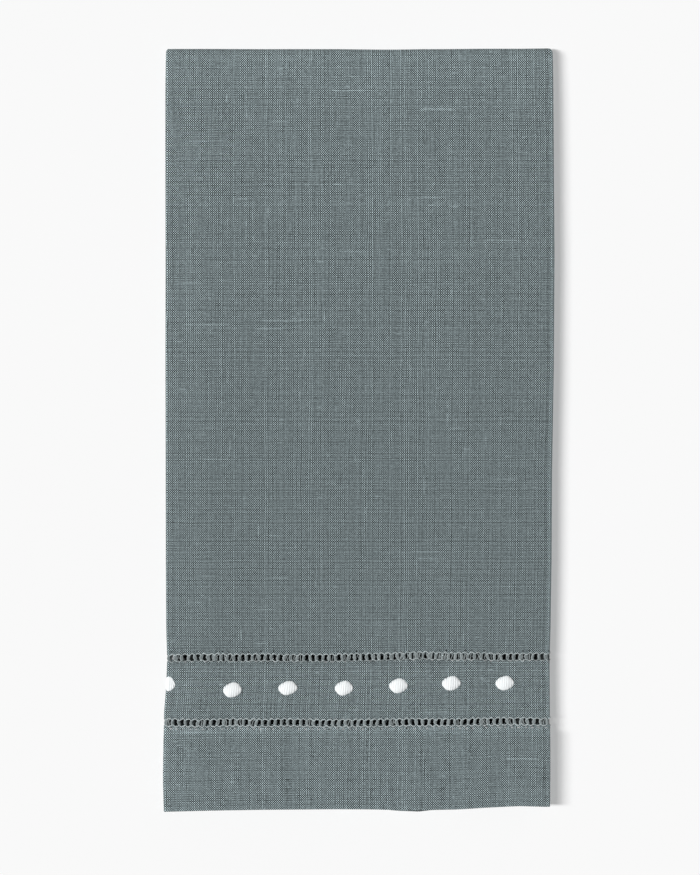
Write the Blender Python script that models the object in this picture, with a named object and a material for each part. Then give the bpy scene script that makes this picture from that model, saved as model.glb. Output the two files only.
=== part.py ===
"""Linen hand towel with drawn-thread rows and embroidered dots, folded in three and then in half.

Metres, +Z up. X runs across the folded towel and Y along it, with the crosswise fold at +Y and both
hems at -Y. The towel lies on Z = 0, and the origin is under the middle of the folded bundle.

A point of the cloth is given flat, as (across, along, off): the distance across from where the front
panel meets its left fold, the row along the towel, and the distance off the middle of the cloth on its
right side. The fold map takes it to its place in the bundle.
"""

import math

import bmesh
import bpy

# Cloth
CLOTH = 0.0011
LAYER_GAP = 0.0003
PITCH = CLOTH + LAYER_GAP
FLAT_WIDTH = 0.500

# Folded bundle, outside sizes
WIDTH = 0.1800
LENGTH = 0.3510
LAYERS = 6
HEIGHT = LAYERS * CLOTH + (LAYERS - 1) * LAYER_GAP
HALF_HEIGHT = HEIGHT / 2

# Height of each layer above the middle of the bundle, the same below it on the back half
FRONT_LEVEL = 2.5 * PITCH
LEFT_FLAP_LEVEL = 1.5 * PITCH
RIGHT_FLAP_LEVEL = 0.5 * PITCH

# Lengthwise folds: the left flap lies next to the front panel, the right flap under both
LEFT_RADIUS = (FRONT_LEVEL - LEFT_FLAP_LEVEL) / 2
RIGHT_RADIUS = (FRONT_LEVEL - RIGHT_FLAP_LEVEL) / 2
LEFT_FOLD_X = -WIDTH / 2 + CLOTH / 2 + LEFT_RADIUS
RIGHT_FOLD_X = WIDTH / 2 - CLOTH / 2 - RIGHT_RADIUS
FRONT_RUN = RIGHT_FOLD_X - LEFT_FOLD_X
LEFT_TURN = math.pi * LEFT_RADIUS
RIGHT_TURN = math.pi * RIGHT_RADIUS
FLAP_RUN = (FLAT_WIDTH - FRONT_RUN - LEFT_TURN - RIGHT_TURN) / 2

# Crosswise fold, about the middle of the bundle
HEM_Y = -LENGTH / 2
CREST_Y = LENGTH / 2
CREST_AXIS_Y = CREST_Y - HALF_HEIGHT
CREST_STEPS = 10

# The right flap ends short of the left fold, so the layers above its end sink: x, how far
SINKING = (
    (LEFT_FOLD_X, 0.0013),
    (-0.0803, 0.0007),
    (-0.0713, 0.0),
)
SINK_FADE_Y = 0.135

# Lines of points along the cloth, the same in every layer and clear of the drawn rows' holes
LINES_X = (SINKING[1][0], SINKING[2][0], -0.0443, -0.0143, 0.0186, 0.0306, 0.0456, 0.0696)
NARROWEST_CELL = 0.003
LEFT_TURN_CELLS = 6
RIGHT_TURN_CELLS = 8

# Hem: the turned-in cloth makes the bundle thicker from the edge up to the line of stitches
HEM_DEPTH = 0.0362
HEM_STEP = 0.0022
HEM_LIFT = 0.24
EDGE_ROUND = 0.0006
EDGE_SHARE = 0.45

# The middle of the bundle, where all six layers lie, stands higher than its sides and its crest
MIDDLE_LIFT = 0.06
MIDDLE_REACH = 0.088
CREST_DROP = 0.08
CREST_DROP_REACH = 0.035

# Folds as they lie, hem to crest: y, the sides of the top panel, the sides of the panel underneath
SIDES = (
    (-0.1755, -0.0897, 0.0881, -0.0889, 0.0875),
    (-0.1600, -0.0901, 0.0883, -0.0894, 0.0874),
    (-0.1440, -0.0898, 0.0883, -0.0894, 0.0872),
    (-0.1300, -0.0896, 0.0882, -0.0891, 0.0870),
    (-0.1180, -0.0886, 0.0881, -0.0882, 0.0870),
    (-0.1050, -0.0881, 0.0880, -0.0879, 0.0871),
    (-0.0920, -0.0886, 0.0884, -0.0880, 0.0876),
    (-0.0600, -0.0888, 0.0889, -0.0880, 0.0881),
    (-0.0200, -0.0889, 0.0891, -0.0879, 0.0883),
    (0.0300, -0.0890, 0.0900, -0.0881, 0.0889),
    (0.0800, -0.0889, 0.0903, -0.0883, 0.0892),
    (0.1300, -0.0890, 0.0899, -0.0885, 0.0891),
    (0.1600, -0.0889, 0.0896, -0.0886, 0.0891),
    (CREST_AXIS_Y, -0.0887, 0.0894, -0.0884, 0.0890),
)
TO_MIDDLE_X = -0.00003
TO_MIDDLE_Y = 0.00019

# Ends as they lie, left to right: x, edge of the top hem, edge of the hem underneath, crest
ENDS = (
    (-0.0900, -0.1755, -0.1750, 0.1753),
    (-0.0700, -0.1748, -0.1744, 0.1753),
    (-0.0450, -0.1744, -0.1741, 0.1752),
    (-0.0100, -0.1741, -0.1739, 0.1752),
    (0.0080, -0.1742, -0.1742, 0.1750),
    (0.0180, -0.1745, -0.1757, 0.1750),
    (0.0300, -0.1745, -0.1761, 0.1752),
    (0.0380, -0.1744, -0.1748, 0.1752),
    (0.0480, -0.1742, -0.1741, 0.1753),
    (0.0580, -0.1735, -0.1731, 0.1754),
    (0.0750, -0.1727, -0.1724, 0.1754),
    (0.0900, -0.1731, -0.1727, 0.1756),
)
HEM_REACH = 0.075
CREST_REACH = 0.035

# Soft swells of the bundle: x, y, half width, half length, share of the height
SWELLS = (
    (-0.0620, -0.0100, 0.030, 0.080, 0.030),
    (0.0100, -0.0550, 0.045, 0.030, -0.025),
    (0.0550, 0.0700, 0.035, 0.060, 0.025),
    (-0.0500, 0.1300, 0.040, 0.040, 0.020),
)

# Drawn-thread rows: y of each, the first hole's distance from the left fold, and the holes' spacing
ROWS_Y = (-0.1045, -0.1350)
FIRST_HOLE = 0.00098
HOLE_STEP = 0.002997
HOLE_LENGTH = 0.0032
HOLE_END_WIDTH = 0.0016
HOLE_WAIST_WIDTH = 0.0012

# Embroidered dots: x of the middle, y of the middle, length, width, rise of the crown
DOTS = (
    (-0.0886, -0.1167, 0.0056, 0.0070, 0.0002),
    (-0.0587, -0.1197, 0.0081, 0.0066, 0.0005),
    (-0.0328, -0.1189, 0.0084, 0.0063, 0.0005),
    (-0.0066, -0.1190, 0.0079, 0.0065, 0.0005),
    (0.0189, -0.1178, 0.0082, 0.0065, 0.0005),
    (0.0436, -0.1167, 0.0083, 0.0065, 0.0005),
    (0.0685, -0.1169, 0.0080, 0.0064, 0.0005),
)
DOT_TILT = math.radians(12)
DOT_CLEARANCE = 0.00032
DOT_EDGE = 0.0003
DOT_CELLS = 6
FOLDED_DOT_CELLS = 18

# Finishes: linear colour and roughness
LINEN = ((0.156, 0.188, 0.195, 1.0), 0.92)
WHITE_THREAD = ((0.84, 0.87, 0.88, 1.0), 0.6)


def clear_scene():
    for item in list(bpy.data.objects):
        bpy.data.objects.remove(item, do_unlink=True)


def make_collection(name):
    collection = bpy.data.collections.new(name)
    bpy.context.scene.collection.children.link(collection)
    return collection


def make_material(name, finish):
    colour, roughness = finish
    material = bpy.data.materials.new(name)
    material.use_nodes = True
    shader = material.node_tree.nodes["Principled BSDF"]
    shader.inputs["Base Color"].default_value = colour
    shader.inputs["Roughness"].default_value = roughness
    shader.inputs["Metallic"].default_value = 0.0
    material.diffuse_color = colour
    return material


def read_table(table, key, column):
    """Value of a column at key, on straight lines between the table's rows."""
    if key <= table[0][0]:
        return table[0][column]
    for low, high in zip(table, table[1:]):
        if key <= high[0]:
            share = (key - low[0]) / (high[0] - low[0])
            return low[column] + share * (high[column] - low[column])
    return table[-1][column]


def smooth_step(value, start, end):
    share = min(max((value - start) / (end - start), 0.0), 1.0)
    return share * share * (3 - 2 * share)


def section_at(across):
    """Cross-section of the upper half: x, height above the middle, and the cloth's outward normal."""
    if across < -LEFT_TURN:
        return LEFT_FOLD_X - LEFT_TURN - across, LEFT_FLAP_LEVEL, 0.0, -1.0
    if across < 0:
        angle = math.pi / 2 - across / LEFT_RADIUS
        out, up = math.cos(angle), math.sin(angle)
        centre = FRONT_LEVEL - LEFT_RADIUS
        return LEFT_FOLD_X + LEFT_RADIUS * out, centre + LEFT_RADIUS * up, out, up
    if across <= FRONT_RUN:
        return LEFT_FOLD_X + across, FRONT_LEVEL, 0.0, 1.0
    past = across - FRONT_RUN
    if past < RIGHT_TURN:
        angle = math.pi / 2 - past / RIGHT_RADIUS
        out, up = math.cos(angle), math.sin(angle)
        centre = FRONT_LEVEL - RIGHT_RADIUS
        return RIGHT_FOLD_X + RIGHT_RADIUS * out, centre + RIGHT_RADIUS * up, out, up
    return RIGHT_FOLD_X + RIGHT_TURN - past, RIGHT_FLAP_LEVEL, 0.0, -1.0


def thickening(x, y):
    """How much thicker than HEIGHT the bundle is at a place, as a factor."""
    hem = smooth_step(HEM_Y + HEM_DEPTH - y, 0.0, HEM_STEP)
    middle = 1 - smooth_step(abs(x), 0.0, MIDDLE_REACH)
    crest = smooth_step(y, CREST_Y - CREST_DROP_REACH, CREST_Y)
    factor = 1 + HEM_LIFT * hem + MIDDLE_LIFT * middle - CREST_DROP * crest
    for swell_x, swell_y, half_width, half_length, share in SWELLS:
        spread = ((x - swell_x) / half_width) ** 2 + ((y - swell_y) / half_length) ** 2
        factor += share * math.exp(-spread)
    return factor


def sinking(x, y, z):
    """How far a point sinks where the right flap is missing between the two halves."""
    before_crest = 1 - smooth_step(y, SINK_FADE_Y, CREST_AXIS_Y)
    above_slot = smooth_step(z, HALF_HEIGHT - RIGHT_FLAP_LEVEL, HALF_HEIGHT + RIGHT_FLAP_LEVEL)
    return read_table(SINKING, x, 1) * before_crest * above_slot


def settle(x, y, z):
    """Moves a point of the even bundle to where the real one lies. The underside stays flat."""
    under = 1 - z / HEIGHT
    left = read_table(SIDES, y, 1) * (1 - under) + read_table(SIDES, y, 3) * under
    right = read_table(SIDES, y, 2) * (1 - under) + read_table(SIDES, y, 4) * under
    placed_x = left + (right - left) * (x / WIDTH + 0.5) + TO_MIDDLE_X
    hem = read_table(ENDS, x, 1) * (1 - under) + read_table(ENDS, x, 2) * under
    crest = read_table(ENDS, x, 3)
    hem_share = min(max(1 - (y - HEM_Y) / HEM_REACH, 0.0), 1.0)
    crest_share = min(max(1 - (CREST_Y - y) / CREST_REACH, 0.0), 1.0)
    placed_y = y + (hem - HEM_Y) * hem_share + (crest - CREST_Y) * crest_share + TO_MIDDLE_Y
    return placed_x, placed_y, (z - sinking(x, y, z)) * thickening(x, y)


def fold(across, along, off):
    """Place in the bundle of a point of the flat cloth. along is (y, turn) with turn 0 to pi."""
    x, level, out, up = section_at(across)
    x += out * off
    level += up * off
    y, turn = along
    return settle(x, y + level * math.sin(turn), HALF_HEIGHT + level * math.cos(turn))


def spread(start, end, cells):
    """Places from start to end, both among them."""
    return [start + (end - start) * cell / cells for cell in range(cells + 1)]


def lines_between(low, high):
    return [x for x in LINES_X if low + NARROWEST_CELL < x < high - NARROWEST_CELL]


def cloth_columns():
    """Places across the flat cloth, from the left flap's edge to the right flap's."""
    left_flap_x = LEFT_FOLD_X + FLAP_RUN
    right_flap_x = RIGHT_FOLD_X - FLAP_RUN
    left_fold_end = LEFT_FOLD_X - LEFT_TURN
    right_fold_end = FRONT_RUN + RIGHT_TURN
    left_flap_lines = reversed(lines_between(LEFT_FOLD_X, left_flap_x))
    right_flap_lines = reversed(lines_between(right_flap_x, RIGHT_FOLD_X))
    columns = [left_fold_end - left_flap_x]
    columns += [left_fold_end - x for x in left_flap_lines]
    columns += spread(-LEFT_TURN, 0.0, LEFT_TURN_CELLS)
    columns += [x - LEFT_FOLD_X for x in lines_between(LEFT_FOLD_X, RIGHT_FOLD_X)]
    columns += spread(FRONT_RUN, right_fold_end, RIGHT_TURN_CELLS)
    columns += [right_fold_end + RIGHT_FOLD_X - x for x in right_flap_lines]
    return columns + [right_fold_end + FLAP_RUN]


def cloth_rows():
    """Rows along the towel as (place, share of the thickness), from the top hem round to the other."""
    hem_top = HEM_Y + HEM_DEPTH
    places = {row[0] for row in SIDES[1:]}
    places |= {HEM_Y + EDGE_ROUND, hem_top - HEM_STEP, hem_top}
    half = [((HEM_Y, 0.0), EDGE_SHARE)]
    half += [((y, 0.0), 1.0) for y in sorted(places)]
    crest = []
    for step in range(1, CREST_STEPS):
        crest.append(((CREST_AXIS_Y, math.pi * step / CREST_STEPS), 1.0))
    back = [((y, math.pi), share) for (y, _), share in reversed(half)]
    return half + crest + back


def flat_slab(columns, rows):
    """Closed slab with a point on each side for each column and row: x and y are their numbers."""
    mesh = bmesh.new()
    bmesh.ops.create_grid(mesh, x_segments=columns - 1, y_segments=rows - 1, size=0.5)
    for vertex in mesh.verts:
        vertex.co.x = round((vertex.co.x + 0.5) * (columns - 1))
        vertex.co.y = round((vertex.co.y + 0.5) * (rows - 1))
    grown = bmesh.ops.extrude_face_region(mesh, geom=mesh.faces[:])
    upper = [item for item in grown["geom"] if isinstance(item, bmesh.types.BMVert)]
    bmesh.ops.translate(mesh, verts=upper, vec=(0.0, 0.0, 1.0))
    return mesh


def finish_object(mesh, name, material, collection):
    bmesh.ops.recalc_face_normals(mesh, faces=mesh.faces[:])
    data = bpy.data.meshes.new(name)
    mesh.to_mesh(data)
    mesh.free()
    data.materials.append(material)
    item = bpy.data.objects.new(name, data)
    collection.objects.link(item)
    return item


def make_towel(material, collection):
    columns = cloth_columns()
    rows = cloth_rows()
    mesh = flat_slab(len(columns), len(rows))
    for vertex in mesh.verts:
        across = columns[round(vertex.co.x)]
        along, share = rows[round(vertex.co.y)]
        off = (vertex.co.z - 0.5) * CLOTH * share
        vertex.co = fold(across, along, off)
    return finish_object(mesh, "towel", material, collection)


def add_hole(mesh, across, y):
    """Waisted prism, from the gap under the front panel to well above it."""
    made = bmesh.ops.create_grid(mesh, x_segments=1, y_segments=2, size=0.5)
    for vertex in made["verts"]:
        on_waist = round(2 * vertex.co.y) == 0
        vertex.co.x *= HOLE_WAIST_WIDTH if on_waist else HOLE_END_WIDTH
        vertex.co.y *= HOLE_LENGTH
    faces = list({face for vertex in made["verts"] for face in vertex.link_faces})
    grown = bmesh.ops.extrude_face_region(mesh, geom=faces)
    upper = [item for item in grown["geom"] if isinstance(item, bmesh.types.BMVert)]
    low = -PITCH / 2
    for vertex in made["verts"]:
        vertex.co = fold(across + vertex.co.x, (y + vertex.co.y, 0.0), low)
    for vertex in upper:
        vertex.co = fold(across + vertex.co.x, (y + vertex.co.y, 0.0), CLOTH)


def make_row_cutter(material, collection):
    mesh = bmesh.new()
    count = int((FRONT_RUN - FIRST_HOLE - HOLE_END_WIDTH / 2) / HOLE_STEP) + 1
    for y in ROWS_Y:
        for number in range(count):
            add_hole(mesh, FIRST_HOLE + number * HOLE_STEP, y)
    cutter = finish_object(mesh, "row_cutter", material, collection)
    cutter.hide_render = True
    cutter.display_type = "WIRE"
    return cutter


def cut(item, cutter):
    boolean = item.modifiers.new("drawn rows", "BOOLEAN")
    boolean.operation = "DIFFERENCE"
    boolean.solver = "EXACT"
    boolean.object = cutter


def make_dot(name, row, cells_across, material, collection):
    x, y, length, width, rise = row
    mesh = flat_slab(cells_across + 1, DOT_CELLS + 1)
    foot = CLOTH / 2 + DOT_CLEARANCE
    for vertex in mesh.verts:
        side = 2 * vertex.co.x / cells_across - 1
        end = 2 * vertex.co.y / DOT_CELLS - 1
        round_x = side * math.sqrt(1 - end * end / 2)
        round_y = end * math.sqrt(1 - side * side / 2)
        crown = 1 - round_x ** 2 - round_y ** 2
        off = foot + vertex.co.z * (DOT_EDGE + rise * crown)
        long_part = round_x * length / 2
        wide_part = round_y * width / 2
        across = x - LEFT_FOLD_X + long_part * math.cos(DOT_TILT) - wide_part * math.sin(DOT_TILT)
        along = y + long_part * math.sin(DOT_TILT) + wide_part * math.cos(DOT_TILT)
        vertex.co = fold(across, (along, 0.0), off)
    return finish_object(mesh, name, material, collection)


def main():
    clear_scene()
    parts = make_collection("hand_towel")
    cutters = make_collection("cutters")
    linen = make_material("linen", LINEN)
    thread = make_material("white_thread", WHITE_THREAD)
    towel = make_towel(linen, parts)
    cut(towel, make_row_cutter(linen, cutters))
    for number, row in enumerate(DOTS, start=1):
        cells = FOLDED_DOT_CELLS if number == 1 else DOT_CELLS
        make_dot(f"dot_{number}", row, cells, thread, parts)


main()
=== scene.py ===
"""Looks of a linen hand towel, folded in three lengthwise and once across, with drawn-thread rows and dots.

The cloth is laid out flat, by its place across the towel and its place along it from the front hem, and
then folded by the same measures as the solid. Threads and stitches are laid on the flat cloth too.
"""
import math
import random

import bmesh
import bpy
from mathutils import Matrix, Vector, noise


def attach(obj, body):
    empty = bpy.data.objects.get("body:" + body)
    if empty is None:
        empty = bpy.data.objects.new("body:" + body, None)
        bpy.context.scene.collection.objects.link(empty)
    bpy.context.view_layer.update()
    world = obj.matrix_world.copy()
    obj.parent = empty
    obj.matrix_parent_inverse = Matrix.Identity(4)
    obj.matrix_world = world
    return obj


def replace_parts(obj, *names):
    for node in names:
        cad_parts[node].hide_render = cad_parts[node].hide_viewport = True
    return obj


# Folded bundle, metres
LINEN_THICKNESS = 0.0011
PITCH = 0.0014
FLAT_WIDTH = 0.500
WIDTH = 0.1800
LENGTH = 0.3510
HEIGHT = 0.0081
HALF_HEIGHT = HEIGHT / 2
FRONT_LEVEL = 2.5 * PITCH
LEFT_FLAP_LEVEL = 1.5 * PITCH
RIGHT_FLAP_LEVEL = 0.5 * PITCH
LEFT_RADIUS = (FRONT_LEVEL - LEFT_FLAP_LEVEL) / 2
RIGHT_RADIUS = (FRONT_LEVEL - RIGHT_FLAP_LEVEL) / 2
LEFT_FOLD_X = -WIDTH / 2 + LINEN_THICKNESS / 2 + LEFT_RADIUS
RIGHT_FOLD_X = WIDTH / 2 - LINEN_THICKNESS / 2 - RIGHT_RADIUS
FRONT_RUN = RIGHT_FOLD_X - LEFT_FOLD_X
LEFT_TURN = math.pi * LEFT_RADIUS
RIGHT_TURN = math.pi * RIGHT_RADIUS
FLAP_RUN = (FLAT_WIDTH - FRONT_RUN - LEFT_TURN - RIGHT_TURN) / 2
HEM_Y = -LENGTH / 2
CREST_Y = LENGTH / 2
CREST_AXIS_Y = CREST_Y - HALF_HEIGHT
STRAIGHT_RUN = CREST_AXIS_Y - HEM_Y
CREST_TURN = math.pi * FRONT_LEVEL
FLAT_LENGTH = 2 * STRAIGHT_RUN + CREST_TURN

# How the bundle sinks, rises and wanders, as in the solid
SINKING = ((LEFT_FOLD_X, 0.0013), (-0.0803, 0.0007), (-0.0713, 0.0))
SINK_FADE_Y = 0.135
HEM_DEPTH = 0.0362
HEM_STEP = 0.0022
HEM_LIFT = 0.24
MIDDLE_LIFT = 0.06
MIDDLE_REACH = 0.088
CREST_DROP = 0.08
CREST_DROP_REACH = 0.035
TO_MIDDLE_X = -0.00003
TO_MIDDLE_Y = 0.00019
HEM_REACH = 0.075
CREST_REACH = 0.035

# y, the sides of the top panel, the sides of the panel underneath
SIDES = (
    (-0.1755, -0.0897, 0.0881, -0.0889, 0.0875),
    (-0.1600, -0.0901, 0.0883, -0.0894, 0.0874),
    (-0.1440, -0.0898, 0.0883, -0.0894, 0.0872),
    (-0.1300, -0.0896, 0.0882, -0.0891, 0.0870),
    (-0.1180, -0.0886, 0.0881, -0.0882, 0.0870),
    (-0.1050, -0.0881, 0.0880, -0.0879, 0.0871),
    (-0.0920, -0.0886, 0.0884, -0.0880, 0.0876),
    (-0.0600, -0.0888, 0.0889, -0.0880, 0.0881),
    (-0.0200, -0.0889, 0.0891, -0.0879, 0.0883),
    (0.0300, -0.0890, 0.0900, -0.0881, 0.0889),
    (0.0800, -0.0889, 0.0903, -0.0883, 0.0892),
    (0.1300, -0.0890, 0.0899, -0.0885, 0.0891),
    (0.1600, -0.0889, 0.0896, -0.0886, 0.0891),
    (CREST_AXIS_Y, -0.0887, 0.0894, -0.0884, 0.0890),
)

# x, edge of the top hem, edge of the hem underneath, crest
ENDS = (
    (-0.0900, -0.1755, -0.1750, 0.1753),
    (-0.0700, -0.1748, -0.1744, 0.1753),
    (-0.0450, -0.1744, -0.1741, 0.1752),
    (-0.0100, -0.1741, -0.1739, 0.1752),
    (0.0080, -0.1742, -0.1742, 0.1750),
    (0.0180, -0.1745, -0.1757, 0.1750),
    (0.0300, -0.1745, -0.1761, 0.1752),
    (0.0380, -0.1744, -0.1748, 0.1752),
    (0.0480, -0.1742, -0.1741, 0.1753),
    (0.0580, -0.1735, -0.1731, 0.1754),
    (0.0750, -0.1727, -0.1724, 0.1754),
    (0.0900, -0.1731, -0.1727, 0.1756),
)

# x, y, half width, half length, share of the height
SWELLS = (
    (-0.0620, -0.0100, 0.030, 0.080, 0.030),
    (0.0100, -0.0550, 0.045, 0.030, -0.025),
    (0.0550, 0.0700, 0.035, 0.060, 0.025),
    (-0.0500, 0.1300, 0.040, 0.040, 0.020),
)

# Fine ripple: its share of the height, how fast it changes each way, its layer of the noise
RIPPLE = 0.010
RIPPLES_ACROSS = 55
RIPPLES_ALONG = 30
RIPPLE_LAYER = 0.3

# Cloth as it is woven, and the cells it is modelled in
WARP_STEP = 0.000483
WEFT_STEP = 0.00053
CELL = 0.0042
TURN_CELLS = 12
CREST_CELLS = 16
HEM_EDGE = (0.0, 0.0004, 0.0012, 0.0030)
HEM_CELLS = 9
HEM_STEP_CELLS = 3
UNDER_ROW_CELLS = 2
BAND_CELLS = 8
CLOTH_TOP = LINEN_THICKNESS / 2

# Drawn-thread rows: the place along the cloth of each row's middle, and half of its open height
UPPER_ROW = 0.0710
LOWER_ROW = 0.0405
ROW_ALONG = (UPPER_ROW, LOWER_ROW)
ROW_HALF = 0.00145
FIRST_HOLE = 0.00102
HOLE_STEP = 0.002995
LAST_BUNDLE = 2 * int((FRONT_RUN + RIGHT_TURN * 0.5 - FIRST_HOLE) / HOLE_STEP) + 1

# How far the middles of the bundles bow to the left, and how far the row is moved back for it
BOW = 0.00022
BOW_BACK = BOW * 0.3

# One bundle: half its width where it is gathered and where it is spread, how far its ends run under the
# woven edge, how far it leans and bends, and how often and how far a strand of it strays
GATHERED_HALF = 0.00034
SPREAD_HALF = 0.00061
END_UNDER = 0.0004
LEAN = 0.00040
BEND = 0.00024
STRAYING = 0.06
STRAY = 0.00060

# The bundles on the front, on the flaps right behind them, on the far half, and on the far half's flaps.
# A height is how far the middle rises, a lift how far the whole stands out, a shade how much darker it is
# painted: painted shade inside the folds
FRONT_BUNDLE = {"strands": 6, "radius": 0.000160, "height": 0.00016, "lift": 0.00030}
FLAP_BUNDLE = {"strands": 3, "radius": 0.000230, "height": 0.00008, "shade": 0.5}
FAR_BUNDLE = {"strands": 5, "radius": 0.000260, "height": 0.00008, "girth": 1.2}
FAR_FLAP_BUNDLE = {"strands": 6, "radius": 0.000300, "height": 0.00006, "shade": 1.2}
FAR_FLAP_GIRTH = 2.4

# The upper row's first hole stands open: its two bundles are wide, and a narrow one shows at its side
OPEN_GIRTH = 1.5
OPEN_ASIDE = 0.0010

# Threads pressed together round the side folds
PRESSED_STEP = 0.00036
PRESSED_RADIUS = 0.000270
PRESSED_WANDER = 0.00008

# Hemstitch: how far out its arches lie and how wide they stand, where the needle holes lie, their inner and
# outer radius and the painted shade in them, the thread into them, how often the upper row lacks a stitch
# under a hole, and the stitches under the holes and along the hem
ARCH_REACH = 0.00188
ARCH_FOOT = 0.00150
ARCH_SHOULDER = 0.00085
NEEDLE_REACH = 0.00275
NEEDLE_HOLE = (0.00026, 0.00050)
NEEDLE_HOLE_SHADE = 0.02
NEEDLE_THREAD_RADIUS = 0.000135
UPPER_ROW_BARE = 0.6
UNDER_STITCH_RADIUS = 0.000190
HEM_STITCH_ALONG = 0.0376
HEM_STITCH_RADIUS = 0.000200

# The arches of each row over its holes, 1, and under them, -1: how bright they are, and how much farther
# than ARCH_REACH they go
ARCHES = {
    (UPPER_ROW, 1): (0.60, 0.00016),
    (UPPER_ROW, -1): (0.20, 0.00002),
    (LOWER_ROW, 1): (1.10, 0.00020),
    (LOWER_ROW, -1): (0.85, 0.00004),
}

# How far each drawn row wanders from its straight line: place across, upper row, lower row. It fades out by
# WANDER_REACH above and below the row
WANDER = (
    (0.000, -0.0006, 0.0005),
    (0.016, -0.0001, -0.0001),
    (0.032, -0.0004, 0.0003),
    (0.044, -0.0001, -0.0003),
    (0.055, -0.0005, 0.0001),
    (0.074, -0.0004, -0.0005),
    (0.096, 0.0001, -0.0003),
    (0.112, 0.0006, 0.0003),
    (0.120, 0.0009, 0.0002),
    (0.128, 0.0004, 0.0001),
    (0.143, 0.0004, 0.0000),
    (0.158, -0.0001, -0.0001),
    (0.173, 0.0002, -0.0003),
)
WANDER_REACH = 0.009

# How far each row's holes lie off their even spacing: place across, upper row, lower row
DRIFT = (
    (0.0056, 0.0002, 0.0004),
    (0.0180, 0.0008, 0.0003),
    (0.0350, 0.0005, 0.0004),
    (0.0560, 0.0005, 0.0002),
    (0.0825, 0.0007, 0.0000),
    (0.0920, 0.0003, -0.0001),
    (0.1010, -0.0002, -0.0001),
    (0.1250, -0.0003, -0.0001),
    (0.1430, -0.0001, 0.0002),
    (0.1540, 0.0004, 0.0003),
    (0.1726, 0.0003, 0.0009),
)

# Where the flaps' bundles lie off those of the front and show in its holes: x, upper row, lower row
SLIPS = (
    (-0.0900, 0.00005, 0.00010),
    (-0.0785, 0.00010, 0.00010),
    (-0.0775, 0.00010, 0.00055),
    (-0.0745, 0.00050, 0.00015),
    (-0.0710, 0.00050, 0.00005),
    (-0.0690, 0.00010, 0.00000),
    (0.0450, 0.00010, -0.00010),
    (0.0480, 0.00070, 0.00000),
    (0.0560, 0.00080, 0.00005),
    (0.0590, 0.00015, 0.00010),
    (0.0660, 0.00010, 0.00010),
    (0.0680, 0.00005, 0.00065),
    (0.0720, 0.00000, 0.00065),
    (0.0740, 0.00000, 0.00005),
    (0.0900, 0.00010, 0.00000),
)

# How likely a hole has a loose strand: place across, upper row, lower row, and a second strand in each
LOOSE = (
    (0.030, 0.35, 0.48, 0.03, 0.04),
    (0.040, 0.60, 0.16, 0.05, 0.02),
    (0.056, 0.60, 0.16, 0.05, 0.02),
    (0.062, 0.35, 0.16, 0.03, 0.02),
    (0.100, 0.35, 0.16, 0.03, 0.02),
    (0.106, 0.95, 0.16, 0.42, 0.02),
    (0.146, 0.95, 0.18, 0.42, 0.02),
    (0.150, 0.22, 0.35, 0.02, 0.02),
)

# Embroidered dots: x and y of the middle, length, width, turns of thread, height at the edge, rise to the
# middle, how fast the ends taper, lean of the threads in degrees
DOTS = (
    (-0.0886, -0.1168, 0.0056, 0.0067, 7, -0.00010, 0.00012, 0.75, -1),
    (-0.0587, -0.1197, 0.0084, 0.0068, 8, 0.00025, 0.00050, 0.56, -9),
    (-0.0328, -0.1189, 0.0087, 0.0064, 8, 0.00025, 0.00050, 0.60, -9),
    (-0.0066, -0.1190, 0.0082, 0.0067, 8, 0.00025, 0.00050, 0.56, -9),
    (0.0189, -0.1178, 0.0085, 0.0066, 8, 0.00025, 0.00050, 0.60, -9),
    (0.0436, -0.1167, 0.0086, 0.0066, 8, 0.00025, 0.00050, 0.62, -9),
    (0.0686, -0.1169, 0.0084, 0.0066, 8, 0.00025, 0.00050, 0.56, -9),
)

# How the dots tilt, how many degrees more their threads lean at the ends, how far a dot is drawn in past the
# front's left edge, the places along a thread, and the step and radius of its plies as shares of a turn
DOT_TILT = math.radians(5)
DOT_FAN = 16
ROUND_THE_FOLD = 0.6
SATIN_SHARES = (-1.0, -0.85, -0.45, 0.0, 0.45, 0.85, 1.0)
PLY_STEP = 0.30
PLY_RADIUS = 0.29

# Studio: how high each sun of the lamp stands, how wide it is, the light of all on the floor, the room's
# light and the floor's own
LAMP_HEIGHTS = [math.radians(height) for height in (43.0, 49.0, 54.0, 58.5, 66.0)]
LAMP_WIDTH = math.radians(8)
LAMP_LIGHT = 2.765
ROOM_LIGHT = 0.12
FLOOR_GLOW = 0.354
FLOOR_HALF = 3.0

# Camera: the picture's height takes in PICTURE_SPAN at CAMERA_REACH under it, the top of the bundle
CAMERA_PLACE = (-0.00401, -0.00336, 2.009)
CAMERA_REACH = 2.0
PICTURE_SPAN = 0.4017
SENSOR = 36.0

# Linear colours
LINEN_COLOUR = (0.1457, 0.1788, 0.1862, 1.0)
# The bundles are the cloth's own threads; BUNDLE_PALE is paler than the linen as painted sheen of their
# straight runs
BUNDLE_PALE = (0.405, 0.452, 0.457, 1.0)
ARCH_PALE = (0.590, 0.655, 0.665, 1.0)
BUNDLE_DARK = (0.158, 0.187, 0.192, 1.0)
SEWING_PALE = (0.580, 0.552, 0.562, 1.0)
SEWING_DARK = (0.200, 0.227, 0.231, 1.0)
WHITE_PALE = (0.945, 0.970, 0.975, 1.0)
WHITE_DARK = (0.80, 0.84, 0.86, 1.0)
FLOOR_DARK = (0.588, 0.588, 0.588, 1.0)
FLOOR_PALE = (0.598, 0.598, 0.598, 1.0)
WHITE_LIGHT = (1.0, 1.0, 1.0, 1.0)

# How much slower the threads' sway changes along them than across them. A sway is its noise's scale and
# detail, and how far it moves the threads
WARP_STRETCH = 0.22
WEFT_STRETCH = 0.60
WARP_SWAY = (80.0, 5.0, 0.0011)
WEFT_SWAY = (70.0, 4.0, 0.0007)
SWAY_ROUGHNESS = 0.58

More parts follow.
